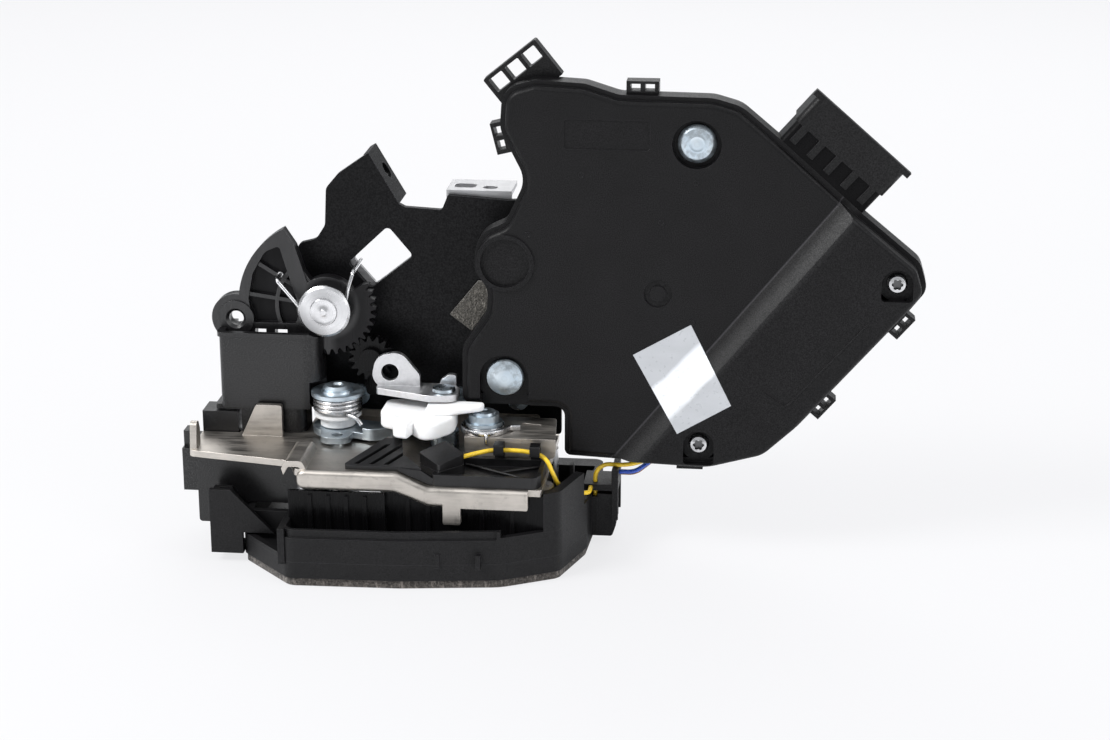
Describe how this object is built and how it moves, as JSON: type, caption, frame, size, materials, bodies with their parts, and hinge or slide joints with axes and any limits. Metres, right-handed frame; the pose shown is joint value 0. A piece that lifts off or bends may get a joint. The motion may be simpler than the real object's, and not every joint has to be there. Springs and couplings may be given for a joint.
{
  "type": "door latch actuator",
  "caption": "Side door latch with a claw and pawl under a sheet plate, lever bracket, switch carrier and a flat motor housing with a plug socket.",
  "frame": {"origin": "point on the outer face of the steel face plate, between the claw pin, the pawl pin and the screw bushes", "axes": "+Z into the door, away from the latch face; +Y towards the side where the striker enters; +X towards the actuator housing"},
  "size_m": [0.2225, 0.0751, 0.1549],
  "materials": {
    "black_plastic": "moulded, fine grain",
    "black_bracket": "black coated sheet",
    "zinc_sheet": "dull zinc-plated sheet",
    "bright_steel": "bright zinc-plated steel",
    "blue_zinc": "blue-passivated zinc",
    "spring_steel": "spring wire",
    "white_nylon": "natural white nylon",
    "light_bush": "light moulded bush",
    "seal_foam": "open-cell foam",
    "grey_felt": "grey felt",
    "label_silver": "blank silver-white sticker",
    "contact_brass": "tinned brass blades",
    "motor_can": "drawn can",
    "gear_plastic": "acetal",
    "wire_yellow": "thin-wall insulation",
    "wire_blue": "thin-wall insulation",
    "wire_black": "thin-wall insulation",
    "wire_brown": "thin-wall insulation"
  },
  "bodies": {
    "base": {"actuator_cover": "black_plastic", "actuator_housing": "black_plastic", "black_wire": "wire_black", "blank_label": "label_silver", "blue_wire": "wire_blue", "bracket_frame": "black_bracket", "bracket_rivets": "blue_zinc", "brown_wire": "wire_brown", "carrier_wire": "wire_yellow", "casing_floor": "black_plastic", "casing_floor_left": "black_plastic", "casing_floor_right": "black_plastic", "casing_screen": "black_plastic", "circuit_carrier": "black_plastic", "claw_pin": "blue_zinc", "claw_spring": "spring_steel", "connector_pins": "contact_brass", "cover_screws": "bright_steel", "entry_wing": "black_plastic", "face_plate": "zinc_sheet", "face_plate_left": "zinc_sheet", "face_plate_right": "zinc_sheet", "foam_patch": "grey_felt", "foam_seal": "seal_foam", "guide_shroud": "black_plastic", "harness_holder": "black_plastic", "housing_rivets": "blue_zinc", "latch_casing": "black_plastic", "latch_plate": "zinc_sheet", "left_bush": "light_bush", "left_cap": "blue_zinc", "lever_spring": "spring_steel", "lever_stud": "blue_zinc", "lock_motor": "motor_can", "microswitch": "black_plastic", "outside_lever_pin": "blue_zinc", "outside_lever_spring": "spring_steel", "pawl_pin": "blue_zinc", "pawl_spring": "spring_steel", "pin_washers": "blue_zinc", "side_housing": "black_plastic", "slotted_flange": "bright_steel", "spiral_spring": "spring_steel", "spring_cup": "blue_zinc", "spring_platform": "zinc_sheet", "switch_carrier": "black_plastic", "threaded_bushes": "bright_steel", "transfer_pin": "blue_zinc", "wheel_pin": "bright_steel", "yellow_wire": "wire_yellow"},
    "claw": {"claw": "bright_steel"},
    "pawl": {"pawl": "bright_steel"},
    "outside_lever": {"outside_lever": "black_plastic"},
    "transfer_pinion": {"transfer_pinion": "black_plastic"},
    "intermediate_lever": {"intermediate_lever": "zinc_sheet"},
    "cable_lever": {"cable_lever": "bright_steel"},
    "locking_lever": {"locking_lever": "white_nylon"},
    "switch_plunger": {"switch_plunger": "gear_plastic"},
    "motor_worm": {"motor_worm": "bright_steel"},
    "worm_wheel": {"worm_wheel": "gear_plastic"}
  },
  "joints": [
    {"name": "claw_turn", "type": "hinge", "parent": "base", "child": "claw", "pos_m": [-0.024, 0.005, 0.008], "axis": [0, 0, 1], "range_deg": [-55, 0], "stiffness_Nm_per_rad": 0.05, "springref_deg": 8.59},
    {"name": "pawl_turn", "type": "hinge", "parent": "base", "child": "pawl", "pos_m": [0.022, -0.001, 0.008], "axis": [0, 0, 1], "range_deg": [0, 10], "stiffness_Nm_per_rad": 0.04, "springref_deg": -8.59},
    {"name": "outside_lever_turn", "type": "hinge", "parent": "base", "child": "outside_lever", "pos_m": [-0.0273, 0.011, 0.0691], "axis": [0, 1, 0], "range_deg": [0, 20], "stiffness_Nm_per_rad": 0.05, "springref_deg": -11.46, "deforming": ["outside_lever_spring"]},
    {"name": "pinion_turn", "type": "hinge", "parent": "base", "child": "transfer_pinion", "pos_m": [-0.01393, 0.011, 0.05317], "axis": [0, 1, 0], "range_deg": [-45, 0]},
    {"name": "intermediate_lever_turn", "type": "hinge", "parent": "base", "child": "intermediate_lever", "pos_m": [-0.024, 0.005, 0.032], "axis": [0, 0, 1], "range_deg": [0, 10], "stiffness_Nm_per_rad": 0.03, "springref_deg": -8.59, "deforming": ["lever_spring"]},
    {"name": "cable_lever_turn", "type": "hinge", "parent": "base", "child": "cable_lever", "pos_m": [0.0095, 0.0016, 0.045], "axis": [0, 0, 1], "range_deg": [0, 14], "stiffness_Nm_per_rad": 0.03, "springref_deg": -8.59},
    {"name": "locking_lever_turn", "type": "hinge", "parent": "base", "child": "locking_lever", "pos_m": [0.0095, 0.0016, 0.038], "axis": [0, 0, 1], "range_deg": [-14, 0]},
    {"name": "plunger_slide", "type": "slide", "parent": "base", "child": "switch_plunger", "axis": [0.7122, -0.702, 0], "range_m": [0, 0.0015], "stiffness_N_per_m": 300, "springref_m": -0.0008},
    {"name": "worm_spin", "type": "hinge", "parent": "base", "child": "motor_worm", "pos_m": [0.10358, 0.008, 0.0477], "axis": [0.6184, 0, 0.7859], "continuous": true},
    {"name": "wheel_spin", "type": "hinge", "parent": "base", "child": "worm_wheel", "pos_m": [0.08864, 0.008, 0.05945], "axis": [0, 1, 0], "continuous": true}
  ],
  "couplings": [
    {"joint": "pinion_turn", "follows": "outside_lever_turn", "ratio": -2.25},
    {"joint": "wheel_spin", "follows": "worm_spin", "ratio": 0.025}
  ]
}
